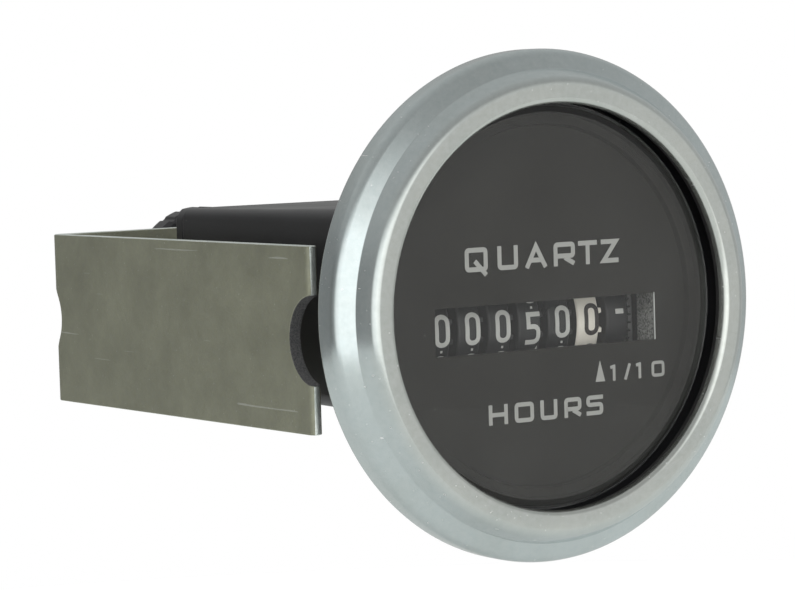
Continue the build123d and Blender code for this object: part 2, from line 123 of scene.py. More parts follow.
class CounterSettings(bpy.types.PropertyGroup):
    figure_width: FloatProperty(
        name="Figure width", description="Width of a figure over its strokes",
        default=2.1 * MM, unit="LENGTH",
    )
    figure_height: FloatProperty(
        name="Figure height", description="Height of a figure over its strokes",
        default=3.85 * MM, unit="LENGTH",
    )
    figure_stroke: FloatProperty(
        name="Figure stroke", description="Width of a figure's strokes", default=0.56 * MM, unit="LENGTH",
    )
    band: FloatProperty(
        name="Band width", description="Width of a drum's band between its gear and its disc",
        default=3.2 * MM, unit="LENGTH",
    )
    figure_shift: FloatProperty(
        name="Figure shift", description="How far the figures sit to the right of the middle of their band",
        default=0.45 * MM, unit="LENGTH",
    )
    figure_lift: FloatProperty(
        name="Figure lift", description="How far the figures in the window sit above the drum's axis",
        default=0.2 * MM, unit="LENGTH",
    )
    figure_lag: FloatProperty(
        name="Figure lag", description="How far a drum that has been carried round sits below the others",
        default=0.5 * MM, unit="LENGTH",
    )
    ivory: FloatVectorProperty(
        name="Ivory", description="Colour of the tenths drum", default=(0.78, 0.74, 0.66), subtype="COLOR",
    )


class ClampSettings(bpy.types.PropertyGroup):
    strap_colour: FloatVectorProperty(
        name="Strap colour", description="Colour of the dull zinc plate on the strap",
        default=(0.325, 0.33, 0.245), subtype="COLOR",
    )
    thread_pitch: FloatProperty(
        name="Thread pitch", description="Pitch of the stud's thread", default=0.8 * MM, unit="LENGTH",
    )


class StageSettings(bpy.types.PropertyGroup):
    azimuth: FloatProperty(
        name="Azimuth", description="Compass turn of the line of sight from +Y towards +X",
        default=radians(33.46), subtype="ANGLE",
    )
    elevation: FloatProperty(
        name="Elevation", description="How far the line of sight points down",
        default=radians(3.96), subtype="ANGLE",
    )
    roll: FloatProperty(
        name="Roll", description="Turn of the camera about its line of sight",
        default=radians(-1.75), subtype="ANGLE",
    )
    distance: FloatProperty(
        name="Distance", description="Distance from the camera to its aim point",
        default=0.3665, unit="LENGTH",
    )
    aim: FloatVectorProperty(
        name="Aim", description="Point at the middle of the view",
        default=(-0.0147, 0.0063, 0.0004), subtype="TRANSLATION",
    )
    focal_length: FloatProperty(
        name="Focal length", description="Focal length of the lens on a 36 mm sensor, in millimetres",
        default=142.3,
    )
    floor_radius: FloatProperty(
        name="Floor radius", description="Radius of the round floor", default=0.42, unit="LENGTH",
    )
    floor_drop: FloatProperty(
        name="Floor drop", description="Distance from the meter's axis down to the floor",
        default=0.095, unit="LENGTH",
    )


# Mesh helpers

def rounded_wire(bm, points, radii=(), closed=False, segments=6):
    """Adds a wire through the points to bm, with an arc of the given radius at each corner that has one."""
    verts = [bm.verts.new(point) for point in points]
    ends = verts[1:] + verts[:1] if closed else verts[1:]
    for start, end in zip(verts, ends):
        bm.edges.new((start, end))
    for index, radius in enumerate(radii):
        if not radius:
            continue
        corner = Vector(points[index])
        before = Vector(points[index - 1]) - corner
        after = Vector(points[(index + 1) % len(points)]) - corner
        half_turn = (pi - before.angle(after)) / 2
        reach = min(radius * tan(half_turn), 0.49 * before.length, 0.49 * after.length)
        bmesh.ops.bevel(
            bm, geom=[verts[index]], offset=reach, offset_type="OFFSET", affect="VERTICES",
            segments=segments, profile=0.5, material=-1, clamp_overlap=False,
        )


def new_piece(name, bm, sharp=radians(35)):
    """Turns bm into a named object, smooth but for the edges where it turns by more than `sharp`."""
    mesh = bpy.data.meshes.new(name)
    bm.to_mesh(mesh)
    bm.free()
    mesh.shade_smooth()
    mesh.set_sharp_from_angle(angle=sharp)
    piece = bpy.data.objects.new(name, mesh)
    bpy.context.scene.collection.objects.link(piece)
    return piece


def clean(bm):
    """Merges doubled vertices and turns the faces outwards."""
    bmesh.ops.remove_doubles(bm, verts=bm.verts, dist=1e-7)
    bmesh.ops.recalc_face_normals(bm, faces=bm.faces)


def spun(points, radii=(), closed=False, steps=FINE_STEPS, segments=6):
    """A bmesh of a (radius, y) outline turned a full turn about the meter's axis."""
    bm = bmesh.new()
    rounded_wire(bm, [(radius, y, 0) for radius, y in points], radii, closed, segments)
    bmesh.ops.spin(
        bm, geom=bm.verts[:] + bm.edges[:], cent=(0, 0, 0), axis=AXIS, dvec=(0, 0, 0),
        angle=2 * pi, steps=steps, use_merge=True, use_duplicate=False,
    )
    clean(bm)
    return bm


def add_bevel(piece, width, segments=2, angle=radians(35)):
    bevel = piece.modifiers.new("Edge", "BEVEL")
    bevel.width = width
    bevel.segments = segments
    bevel.limit_method = "ANGLE"
    bevel.angle_limit = angle
    bevel.use_clamp_overlap = False
    bevel.harden_normals = True
    return bevel


def finished(piece):
    """The piece's mesh with its modifiers applied, and the piece removed."""
    graph = bpy.context.evaluated_depsgraph_get()
    mesh = bpy.data.meshes.new_from_object(piece.evaluated_get(graph))
    bpy.data.objects.remove(piece)
    return mesh


def refined(node, body, width, material, slot, name=None):
    """A merged copy of a CAD node with a small bevel on its edges, which stands for that node."""
    bm = bmesh.new()
    bm.from_mesh(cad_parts[node].data)
    bmesh.ops.remove_doubles(bm, verts=bm.verts, dist=1e-6)
    bmesh.ops.dissolve_limit(bm, angle_limit=radians(0.6), verts=bm.verts, edges=bm.edges)
    piece = new_piece(name or f"{node}_shell", bm)
    if "custom_normal" in piece.data.attributes:
        piece.data.attributes.remove(piece.data.attributes["custom_normal"])
    if width:
        add_bevel(piece, width)
    return place(piece, body, material, slot, node)


def place(piece, body, material, slot, *nodes):
    """Gives a piece its material, sets it on its body and hides the CAD nodes that it stands for. Its slot is
    not used.
    """
    piece.data.materials.clear()
    piece.data.materials.append(material)
    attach(piece, body)
    if nodes:
        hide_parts(*nodes)
    return piece


# Node helpers

def add(tree, kind, inputs=None, **settings):
    """Adds a node. Inputs are values or sockets, keyed by socket name or number."""
    node = tree.nodes.new(kind)
    for key, value in settings.items():
        setattr(node, key, value)
    for key, value in (inputs or {}).items():
        if isinstance(value, bpy.types.NodeSocket):
            tree.links.new(value, node.inputs[key])
        else:
            node.inputs[key].default_value = value
    return node


def calc(tree, operation, *values):
    return add(tree, "ShaderNodeMath", dict(enumerate(values)), operation=operation).outputs[0]


def span(tree, value, low_in, high_in, low_out=0.0, high_out=1.0):
    """Maps a value from one range to another, held at the ends."""
    numbers = {"Value": value, "From Min": low_in, "From Max": high_in, "To Min": low_out, "To Max": high_out}
    return add(tree, "ShaderNodeMapRange", numbers).outputs["Result"]


def blend_colour(tree, factor, *colours):
    """Blends from the first colour to the second. Each is a colour socket, or red, green and blue."""
    first, second = (each if isinstance(each, bpy.types.NodeSocket) else (*each, 1.0) for each in colours)
    node = add(tree, "ShaderNodeMix", {0: factor, 6: first, 7: second}, data_type="RGBA")
    return node.outputs[2]


def noise(tree, vector, scale, detail=2.0, roughness=0.5):
    inputs = {"Vector": vector, "Scale": scale, "Detail": detail, "Roughness": roughness}
    return add(tree, "ShaderNodeTexNoise", inputs).outputs[0]


def new_group(name, inputs, outputs):
    """A shader node group. Inputs are (name, kind, default), and outputs are (name, kind)."""
    tree = bpy.data.node_groups.new(name, "ShaderNodeTree")
    for label, kind, default in inputs:
        socket = tree.interface.new_socket(name=label, in_out="INPUT", socket_type=kind)
        if default is not None:
            socket.default_value = default
    for label, kind in outputs:
        tree.interface.new_socket(name=label, in_out="OUTPUT", socket_type=kind)
    return tree, tree.nodes.new("NodeGroupInput").outputs, tree.nodes.new("NodeGroupOutput").inputs


FLOAT = "NodeSocketFloat"
VECTOR = "NodeSocketVector"


def spun_lines_group():
    """Fine lines that run round the Y axis, as a lathe or a spinning brush leaves them."""
    tree, given, result = new_group(
        "Spun lines",
        [("Vector", VECTOR, None), ("Lines", FLOAT, 3000.0)],
        [("Height", FLOAT), ("Cloud", FLOAT)],
    )
    parts = add(tree, "ShaderNodeSeparateXYZ", {0: given["Vector"]}).outputs
    flat = add(tree, "ShaderNodeCombineXYZ", {0: parts[0], 2: parts[2]}).outputs[0]
    reach = add(tree, "ShaderNodeVectorMath", {0: flat}, operation="LENGTH").outputs["Value"]
    turn = calc(tree, "ARCTAN2", parts[2], parts[0])
    long_turn, short_turn = calc(tree, "MULTIPLY", turn, 0.0006), calc(tree, "MULTIPLY", turn, 0.004)
    across = add(tree, "ShaderNodeCombineXYZ", {0: reach, 1: parts[1], 2: long_turn})
    lines = noise(tree, across.outputs[0], given["Lines"], 3.0, 0.6)
    broad = add(tree, "ShaderNodeCombineXYZ", {0: reach, 1: parts[1], 2: short_turn})
    cloud = noise(tree, broad.outputs[0], 420.0, 2.0, 0.5)
    tree.links.new(lines, result["Height"])
    tree.links.new(cloud, result["Cloud"])
    return tree


def mottle_group():
    """Soft blotches of two sizes, as on plated sheet."""
    tree, given, result = new_group(
        "Plating mottle",
        [("Vector", VECTOR, None), ("Size", FLOAT, 200.0)],
        [("Blotch", FLOAT), ("Spangle", FLOAT)],
    )
    blotch = noise(tree, given["Vector"], given["Size"], 4.0, 0.6)
    fine = calc(tree, "MULTIPLY", given["Size"], 9.0)
    spangle = noise(tree, given["Vector"], fine, 3.0, 0.7)
    tree.links.new(span(tree, blotch, 0.3, 0.7), result["Blotch"])
    tree.links.new(span(tree, spangle, 0.3, 0.7), result["Spangle"])
    return tree


def scratch_group():
    """Short thin scratches in two directions."""
    tree, given, result = new_group(
        "Scratches",
        [("Vector", VECTOR, None), ("Fineness", FLOAT, 1.0), ("Threshold", FLOAT, 0.7)],
        [("Mask", FLOAT)],
    )
    masks = []
    directions = (
        ((0.3, 0.5, 0.4), (60.0, 3200.0, 3200.0)),
        ((0.9, -0.4, 1.3), (3000.0, 70.0, 3000.0)),
    )
    for turn, stretch in directions:
        inputs = {"Vector": given["Vector"], "Rotation": turn, "Scale": stretch}
        turned = add(tree, "ShaderNodeMapping", inputs)
        lines = noise(tree, turned.outputs[0], given["Fineness"], 1.0, 0.4)
        masks.append(calc(tree, "GREATER_THAN", lines, given["Threshold"]))
    tree.links.new(calc(tree, "MAXIMUM", *masks), result["Mask"])
    return tree


def grain_group():
    """Fine moulded grain, with scattered dust specks."""
    tree, given, result = new_group(
        "Moulded grain",
        [("Vector", VECTOR, None), ("Grain", FLOAT, 4000.0)],
        [("Height", FLOAT), ("Dust", FLOAT), ("Cloud", FLOAT)],
    )
    tree.links.new(noise(tree, given["Vector"], given["Grain"], 2.0, 0.6), result["Height"])
    cells = add(tree, "ShaderNodeTexVoronoi", {"Vector": given["Vector"], "Scale": 900.0})
    size = add(tree, "ShaderNodeSeparateColor", {0: cells.outputs["Color"]})
    limit = span(tree, size.outputs[0], 0.92, 1.0, 0.0, 0.14)
    tree.links.new(calc(tree, "LESS_THAN", cells.outputs["Distance"], limit), result["Dust"])
    tree.links.new(span(tree, noise(tree, given["Vector"], 120.0, 3.0, 0.6), 0.3, 0.7), result["Cloud"])
    return tree


class Finish:
    """A material, its Principled shader, and the shared groups that it places."""

    groups = {}

    def __init__(self, name, **sockets):
        self.material = bpy.data.materials.new(name)
        self.material.use_nodes = True
        self.tree = self.material.node_tree
        self.shader = self.tree.nodes["Principled BSDF"]
        self.place = add(self.tree, "ShaderNodeTexCoord").outputs["Object"]
        for key, value in sockets.items():
            self.shader.inputs[key.replace("_", " ")].default_value = value

    def effect(self, maker, **inputs):
        """Places a shared group that reads the piece's own place, and returns its outputs."""
        if maker not in Finish.groups:
            Finish.groups[maker] = maker()
        node = self.tree.nodes.new("ShaderNodeGroup")
        node.node_tree = Finish.groups[maker]
        self.tree.links.new(self.place, node.inputs["Vector"])
        for key, value in inputs.items():
            node.inputs[key].default_value = value
        return node.outputs

    def feed(self, **sockets):
        for key, value in sockets.items():
            self.tree.links.new(value, self.shader.inputs[key.replace("_", " ")])

    def bump(self, *layers):
        """Feeds Normal from (height, strength, distance) layers."""
        normal = None
        for height, strength, distance in layers:
            inputs = {"Height": height, "Strength": strength, "Distance": distance}
            if normal:
                inputs["Normal"] = normal
            normal = add(self.tree, "ShaderNodeBump", inputs).outputs[0]
        self.tree.links.new(normal, self.shader.inputs["Normal"])


# Materials

def zinc_plate(colour):
    """Bright zinc plate on the bezel: spun lines, soft blotches, a cooler flange and a few scratches."""
    finish = Finish("zinc_plate", Metallic=1.0)
    tree = finish.tree
    lines = finish.effect(spun_lines_group, Lines=2600.0)
    mottle = finish.effect(mottle_group, Size=140.0)
    marks = finish.effect(scratch_group, Threshold=0.79)["Mask"]
    parts = add(tree, "ShaderNodeSeparateXYZ", {0: finish.place}).outputs
    flat = add(tree, "ShaderNodeCombineXYZ", {0: parts[0], 2: parts[2]}).outputs[0]
    reach = add(tree, "ShaderNodeVectorMath", {0: flat}, operation="LENGTH").outputs["Value"]
    outward = span(tree, reach, 25.6 * MM, 27.0 * MM)
    warm = tuple(part * tint for part, tint in zip(colour, (1.03, 1.0, 0.96)))
    cool = tuple(part * tint for part, tint in zip(colour, (0.95, 1.0, 1.03)))
    ground = blend_colour(tree, outward, warm, cool)
    dull = blend_colour(tree, calc(tree, "MULTIPLY", mottle["Blotch"], 0.45), ground, (0.50, 0.55, 0.53))
    bright = blend_colour(tree, calc(tree, "MULTIPLY", mottle["Spangle"], 0.25), dull, (0.82, 0.85, 0.85))
    finish.feed(Base_Color=blend_colour(tree, marks, bright, (0.95, 0.96, 0.96)))
    rough = span(tree, mottle["Blotch"], 0.0, 1.0, 0.15, 0.21)
    rough = calc(tree, "ADD", rough, span(tree, lines["Cloud"], 0.3, 0.7, -0.02, 0.04))
    finish.feed(Roughness=calc(tree, "ADD", rough, calc(tree, "MULTIPLY", marks, 0.2)))
    finish.bump((lines["Height"], 0.06, 0.01 * MM), (mottle["Spangle"], 0.08, 0.008 * MM))
    return finish.material


def zinc_strap(colour):
    """Dull zinc plate on the strap: grainy, blotched, with handling marks."""
    finish = Finish("zinc_strap", Metallic=0.85)
    tree = finish.tree
    mottle = finish.effect(mottle_group, Size=160.0)
    marks = finish.effect(scratch_group, Threshold=0.77)["Mask"]
    dark = tuple(part * 0.85 for part in colour)
    pale = tuple(min(1.0, part * 1.12) for part in colour)
    ground = blend_colour(tree, mottle["Blotch"], dark, pale)
    warm = blend_colour(tree, calc(tree, "MULTIPLY", mottle["Spangle"], 0.30), ground, (0.30, 0.31, 0.30))
    finish.feed(Base_Color=blend_colour(tree, calc(tree, "MULTIPLY", marks, 0.4), warm, (0.7, 0.72, 0.68)))
    finish.feed(Roughness=span(tree, mottle["Spangle"], 0.0, 1.0, 0.42, 0.58))
    finish.bump((mottle["Spangle"], 0.30, 0.03 * MM), (mottle["Blotch"], 0.15, 0.05 * MM))
    return finish.material


def cut_edge_painted_highlight():
    """Sheared edge of the strap: bright as a painted highlight where light catches the thin edge, torn and
    dented.
    """
    finish = Finish("cut_edge_painted_highlight", Metallic=0.9)
    tree = finish.tree
    mottle = finish.effect(mottle_group, Size=420.0)
    drawn_out = add(tree, "ShaderNodeMapping", {"Vector": finish.place, "Scale": (1.0, 1.0, 0.25)})
    tears = noise(tree, drawn_out.outputs[0], 2600.0, 3.0, 0.7)
    # Painted highlight: the pale ground stands for light catching the strap's cut edges.
    ground = blend_colour(tree, mottle["Blotch"], (0.60, 0.66, 0.62), (0.84, 0.88, 0.84))
    finish.feed(Base_Color=ground)
    finish.feed(Roughness=span(tree, mottle["Spangle"], 0.0, 1.0, 0.32, 0.55))
    finish.bump((tears, 0.6, 0.06 * MM), (mottle["Blotch"], 0.35, 0.12 * MM))
    return finish.material


def notch_painted_shade():
    """Inner cut of the strap's notches, painted dark for the shade inside them, and coarse."""
    finish = Finish("notch_painted_shade", Metallic=0.4)
    tree = finish.tree
    mottle = finish.effect(mottle_group, Size=600.0)
    # Painted shade: the notch walls are coloured near black for the shade that falls in them.
    ground = blend_colour(tree, mottle["Spangle"], (0.035, 0.036, 0.038), (0.16, 0.16, 0.16))
    finish.feed(Base_Color=ground)
    finish.feed(Roughness=span(tree, mottle["Blotch"], 0.0, 1.0, 0.5, 0.75))
    finish.bump((mottle["Spangle"], 0.8, 0.12 * MM))
    return finish.material


def turned_metal(name, colour, roughness, lines=3200.0):
    """Plated or plain metal with faint lines round the axis and slight blotches."""
    finish = Finish(name, Metallic=1.0)
    tree = finish.tree
    spin = finish.effect(spun_lines_group, Lines=lines)
    mottle = finish.effect(mottle_group, Size=320.0)
    dark = tuple(part * 0.72 for part in colour)
    cloud = calc(tree, "MULTIPLY", mottle["Blotch"], 0.6)
    finish.feed(Base_Color=blend_colour(tree, cloud, colour, dark))
    finish.feed(Roughness=span(tree, mottle["Spangle"], 0.0, 1.0, roughness - 0.05, roughness + 0.10))
    finish.bump((spin["Height"], 0.18, 0.02 * MM))
    return finish.material


def moulded_plastic(name, colour, roughness, grain=3600.0, strength=0.25, dust=0.5, specular=0.5):
    """Moulded plastic: fine grain, a little cloudiness and dust."""
    finish = Finish(name, Specular_IOR_Level=specular)
    tree = finish.tree
    surface = finish.effect(grain_group, Grain=grain)
    light = tuple(part * 1.25 + 0.004 for part in colour)
    ground = blend_colour(tree, surface["Cloud"], colour, light)
    dusty = calc(tree, "MULTIPLY", surface["Dust"], dust)
    finish.feed(Base_Color=blend_colour(tree, dusty, ground, (0.45, 0.44, 0.42)))
    finish.feed(Roughness=span(tree, surface["Cloud"], 0.0, 1.0, roughness - 0.05, roughness + 0.06))
    finish.bump((surface["Height"], strength, 0.03 * MM))
    return finish.material


def dial_face(colour):
    """Moulded dial: fine matt grain. The window's right wall is coarse, with painted light that turns it
    grey, and a painted highlight along its front edge.
    """
    finish = Finish("dial_black", Specular_IOR_Level=0.14)
    tree = finish.tree
    surface = finish.effect(grain_group, Grain=5200.0)
    parts = add(tree, "ShaderNodeSeparateXYZ", {0: finish.place}).outputs
    # Painted light: the window's right wall is coloured grey for the light that falls on it, and its coarse
    # noise also bumps it.
    deep = span(tree, parts[1], DIAL_FACE + 0.15 * MM, DIAL_FACE + 0.35 * MM)
    side = span(tree, parts[0], WINDOW_RIGHT - 0.6 * MM, WINDOW_RIGHT - 0.45 * MM)
    wall = calc(tree, "MULTIPLY", deep, side)
    coarse = noise(tree, finish.place, 3800.0, 2.0, 0.8)
    painted_wall_light = blend_colour(tree, span(tree, coarse, 0.35, 0.65), (0.05, 0.05, 0.05), (0.34, 0.34, 0.32))
    light = tuple(part * 1.3 for part in colour)
    ground = blend_colour(tree, surface["Cloud"], colour, light)
    dusted = blend_colour(tree, calc(tree, "MULTIPLY", surface["Dust"], 0.2), ground, (0.35, 0.35, 0.33))
    with_painted_wall_light = blend_colour(tree, wall, dusted, painted_wall_light)
    # Painted highlight: a thin pale line along the front edge of the window's right wall, where light catches
    # it.
    highlight_limits = (
        (parts[0], WINDOW_RIGHT - 0.06 * MM, WINDOW_RIGHT - 0.02 * MM),
        (parts[0], WINDOW_RIGHT + 0.12 * MM, WINDOW_RIGHT + 0.06 * MM),
        (parts[1], DIAL_FACE + 0.22 * MM, DIAL_FACE + 0.1 * MM),
        (parts[2], WINDOW_LOW - 0.05 * MM, WINDOW_LOW + 0.1 * MM),
        (parts[2], WINDOW_HIGH + 0.15 * MM, WINDOW_HIGH),
    )
    edge = 1.0
    for part, outside, inside in highlight_limits:
        edge = calc(tree, "MULTIPLY", span(tree, part, outside, inside), edge)
    finish.feed(Base_Color=blend_colour(tree, edge, with_painted_wall_light, (0.55, 0.55, 0.53)))
    finish.feed(Roughness=span(tree, surface["Cloud"], 0.0, 1.0, 0.46, 0.56))
    finish.bump((surface["Height"], 0.03, 0.01 * MM), (calc(tree, "MULTIPLY", coarse, wall), 0.3, 0.06 * MM))
    return finish.material


def printing_ink(name, colour):
    """Screen-printed ink: slightly uneven cover and a soft surface."""
    finish = Finish(name, Roughness=0.55)
    tree = finish.tree
    mottle = finish.effect(mottle_group, Size=900.0)
    thin = tuple(part * 0.86 for part in colour)
    finish.feed(Base_Color=blend_colour(tree, mottle["Spangle"], colour, thin))
    finish.bump((mottle["Spangle"], 0.2, 0.01 * MM))
    return finish.material


def window_glass():
    """Flat clear window with a polished face, faint smears, and light let through to the dial."""
    finish = Finish("window_clear", IOR=1.05, Roughness=0.0, Transmission_Weight=1.0, Metallic=0.0,
                    Coat_IOR=1.5, Coat_Roughness=0.02)
    tree = finish.tree
    smear = noise(tree, finish.place, 90.0, 4.0, 0.6)
    finish.feed(Coat_Weight=span(tree, smear, 0.3, 0.7, 0.70, 0.85))
    finish.feed(Base_Color=blend_colour(tree, smear, (0.985, 0.985, 0.98), (0.96, 0.965, 0.96)))
    clear = add(tree, "ShaderNodeBsdfTransparent", {"Color": (0.94, 0.95, 0.95, 1.0)}).outputs[0]
    shadow = add(tree, "ShaderNodeLightPath").outputs["Is Shadow Ray"]
    mixed = add(tree, "ShaderNodeMixShader", {0: shadow, 1: finish.shader.outputs[0], 2: clear}).outputs[0]
    tree.links.new(mixed, tree.nodes["Material Output"].inputs["Surface"])
    return finish.material


def wound_copper():
    """Enamelled copper wire in close turns round the vertical core, with painted highlights on the crests of
    the turns and painted shade between them.
    """
    finish = Finish("copper_winding", Metallic=0.9, Coat_Weight=0.6)
    tree = finish.tree
    parts = add(tree, "ShaderNodeSeparateXYZ", {0: finish.place}).outputs
    wire_pitch = 0.12 * MM
    turns = calc(tree, "SINE", calc(tree, "MULTIPLY", parts[2], 2 * pi / wire_pitch))
    # Painted light and shade: each turn is lighter on its crest and darker in the groove to the next.
    painted_turn_light = span(tree, turns, -1.0, 1.0)
    finish.feed(Base_Color=blend_colour(tree, painted_turn_light, (0.28, 0.09, 0.03), (0.62, 0.27, 0.10)))
    finish.feed(Roughness=span(tree, noise(tree, finish.place, 800.0), 0.3, 0.7, 0.25, 0.4))
    finish.bump((turns, 0.5, 0.03 * MM))
    return finish.material


def lacquered_board():
    """Green laminate with tinned tracks under lacquer."""
    finish = Finish("board", Coat_Weight=0.5, Coat_Roughness=0.15)
    tree = finish.tree
    weave = finish.effect(grain_group, Grain=2400.0)
    cells = add(tree, "ShaderNodeTexVoronoi", {"Vector": finish.place, "Scale": 260.0}, distance="MANHATTAN")
    tracks = calc(tree, "LESS_THAN", cells.outputs["Distance"], 0.16)
    ground = blend_colour(tree, weave["Cloud"], (0.02, 0.12, 0.05), (0.03, 0.17, 0.07))
    finish.feed(Base_Color=blend_colour(tree, tracks, ground, (0.42, 0.45, 0.36)))
    finish.feed(Roughness=span(tree, weave["Cloud"], 0.0, 1.0, 0.35, 0.5))
    finish.bump((weave["Height"], 0.15, 0.02 * MM), (tracks, 0.3, 0.03 * MM))
    return finish.material


# Figures and letters on a unit cell. Each stroke is (points, closed, the points that stay square).

BOX = ((0, 0), (0, 1), (1, 1), (1, 0))
RING = (BOX, True, ())
GLYPHS = {
    "0": (RING,),
    "1": ((((0.05, 0.96), (0.6, 1), (0.6, 0)), False, (1,)),),
    "2": ((((0, 1), (1, 1), (1, 0.52), (0, 0), (1, 0)), False, (3,)),),
    "3": ((((0, 1), (1, 1), (0.4, 0.56), (1, 0.5), (1, 0), (0, 0)), False, (1, 2)),),
    "4": ((((0.8, 0), (0.8, 1), (0, 0.3), (1, 0.3)), False, (1, 2)),),
    "5": ((((1, 1), (0.08, 1), (0.08, 0.56), (1, 0.56), (1, 0), (0, 0)), False, (1, 2)),),
    "6": ((((1, 1), (0, 1), (0, 0), (1, 0), (1, 0.54), (0, 0.54)), False, ()),),
    "7": ((((0, 1), (1, 1), (0.3, 0)), False, (1,)),),
    "8": (RING, (((0, 0.52), (1, 0.52)), False, ())),
    "9": ((((0, 0), (1, 0), (1, 1), (0, 1), (0, 0.46), (1, 0.46)), False, ()),),
    "A": ((((0, 0), (0.5, 1), (1, 0)), False, (1,)), (((0.3, 0.28), (0.7, 0.28)), False, ())),
    "H": (
        (((0, 0), (0, 1)), False, ()),
        (((1, 0), (1, 1)), False, ()),
        (((0.2, 0.5), (0.8, 0.5)), False, ()),
    ),
    "O": (RING,),
    "Q": (RING, (((0.5, 0.34), (0.95, -0.22)), False, ())),
    "R": (
        (((0, 0), (0, 1), (1, 1), (1, 0.4), (0.2, 0.4)), False, ()),
        (((0.62, 0.25), (0.96, 0.04)), False, ()),
    ),
    "S": ((((1, 1), (0, 1), (0, 0.54), (1, 0.54), (1, 0), (0, 0)), False, ()),),
    "T": ((((0, 1), (1, 1)), False, ()), (((0.5, 0.8), (0.5, 0)), False, ())),
    "U": ((((0, 1), (0, 0), (1, 0), (1, 1)), False, ()),),
    "Z": ((((0, 1), (0.96, 1), (0.04, 0), (1, 0)), False, (1, 2)),),
    "/": ((((0, 0), (1, 1)), False, ()),),
}


def add_strokes(bm, glyph, left, bottom, width, height, stroke, corner):
    """Adds a glyph's stroke middles to bm in the XZ plane. Its cell is (width, height) over the strokes.

    Each later stroke is set a little deeper, so that the tops of crossing strokes don't share a plane.
    """
    wide, tall, cap = width - stroke, height - stroke, stroke / 2
    for order, (points, closed, square) in enumerate(GLYPHS[glyph]):
        sunk = order * 0.012 * MM
        corners = [Vector((left + cap + x * wide, sunk, bottom + cap + z * tall)) for x, z in points]
        radii = [0 if index in square else corner for index in range(len(points))]
        if not closed:
            radii[0] = radii[-1] = 0
            head = (corners[0] - corners[1]).normalized() * cap
            tail = (corners[-1] - corners[-2]).normalized() * cap
            corners[0] += head
            corners[-1] += tail
        rounded_wire(bm, corners, radii, closed, segments=5)


def raised_strokes(name, bm, stroke, depth):
    """Gives the wires in bm a stroke's width and stands them out of y = 0 by depth, towards the reader."""
    made = bmesh.ops.extrude_edge_only(bm, edges=bm.edges[:])
    verts = [item for item in made["geom"] if isinstance(item, bmesh.types.BMVert)]
    bmesh.ops.translate(bm, verts=verts, vec=(0, -depth, 0))
    bmesh.ops.recalc_face_normals(bm, faces=bm.faces)
    wall = new_piece(name, bm)
    solidify = wall.modifiers.new("Stroke", "SOLIDIFY")
    solidify.thickness = stroke
    solidify.offset = 0
    solidify.use_even_offset = True
    result = bmesh.new()
    result.from_mesh(finished(wall))
    bmesh.ops.recalc_face_normals(result, faces=result.faces)
    return result


def printed_word(name, letters, left, bottom, height, stroke, depth, corner):
    """A word of flat raised letters. Letters are (glyph, width, gap before it), in millimetres."""
    bm = bmesh.new()
    x = left
    for glyph, width, gap in letters:
        x += gap * MM
        add_strokes(bm, glyph, x, bottom, width * MM, height, stroke, corner)
        x += width * MM
    return raised_strokes(name, bm, stroke, depth)


def wrap_on_drum(bm, radius, axis):
    """Bends flat strokes round a drum: z runs round the circle, and y stands off it."""
    step = 0.4 * MM
    lowest = min(vert.co.z for vert in bm.verts)
    highest = max(vert.co.z for vert in bm.verts)
    height = lowest + step / 2
    while height < highest:
        geometry = bm.verts[:] + bm.edges[:] + bm.faces[:]
        bmesh.ops.bisect_plane(bm, geom=geometry, plane_co=(0, 0, height), plane_no=(0, 0, 1), dist=1e-8)
        height += step
    for vert in bm.verts:
        reach = radius - vert.co.y
        angle = vert.co.z / radius
        vert.co.y = axis.y - reach * cos(angle)
        vert.co.z = axis.z + reach * sin(angle)


# Operators

class MakeBezel(bpy.types.Operator):
    """Rolled bezel: rear lip, rim, sloping flange, step, front ring and turned-in lip, as one bent sheet"""

    bl_idname = "hour_meter.bezel"
    bl_label = "Bezel"

    def execute(self, context):
        settings = context.scene.hour_meter_bezel
        sheet = settings.sheet
        outer = high("bezel").x
        front = low("bezel").y
        rear_lip, rim_front, step_foot, lip_end = 27.25 * MM, -3.35 * MM, -4.4 * MM, -5.75 * MM
        middle = (
            (rear_lip, -sheet / 2),
            (outer - sheet / 2, -sheet / 2),
            (outer - sheet / 2, rim_front),
            (settings.step, step_foot),
            (settings.ring, front + sheet / 2),
            (settings.lip, front + sheet / 2),
            (settings.lip, lip_end),
        )
        radii = (0, 0.5 * MM, 0.9 * MM, 0.5 * MM, 0.8 * MM, 0.4 * MM, 0)
        ring = new_piece("bezel_ring", spun(middle, radii, segments=8), sharp=radians(50))
        wall = ring.modifiers.new("Sheet", "SOLIDIFY")
        wall.thickness = sheet
        wall.offset = 0
        wall.use_even_offset = True
        add_bevel(ring, 0.12 * MM, 2, radians(50))
        place(ring, "meter", zinc_plate(settings.plate_colour), "zinc_plate", "bezel")
        return {"FINISHED"}


class MakeWindow(bpy.types.Operator):
    """Flat round window with rounded edges, and the rubber gasket that holds it"""

    bl_idname = "hour_meter.window"
    bl_label = "Window and Gasket"

    def execute(self, context):
        front, back, radius = low("lens").y, high("lens").y, high("lens").x
        outline = ((0, front), (radius, front), (radius, back), (0, back))
        disc = new_piece("window_disc", spun(outline, (0, 0.2 * MM, 0.2 * MM, 0), segments=3))
        place(disc, "meter", window_glass(), "window", "lens")
        rubber = moulded_plastic(
            "black_rubber", (0.012, 0.012, 0.012), 0.62, grain=2600.0, strength=0.5, dust=0.8, specular=0.3,
        )
        front, back = low("lens_gasket").y, high("lens_gasket").y
        outer, inner = high("lens_gasket").x, 23.75 * MM
        shoulder = 24.6 * MM
        outline = (
            (inner, front + 0.5 * MM),
            (shoulder, front + 0.5 * MM),
            (shoulder, front),
            (outer, front),
            (outer, back),
            (inner, back),
        )
        radii = (0.15 * MM, 0, 0, 0.2 * MM, 0.2 * MM, 0.1 * MM)
        gasket = new_piece("gasket_ring", spun(outline, radii, closed=True, segments=3))
        place(gasket, "meter", rubber, "black_rubber", "lens_gasket")
        return {"FINISHED"}


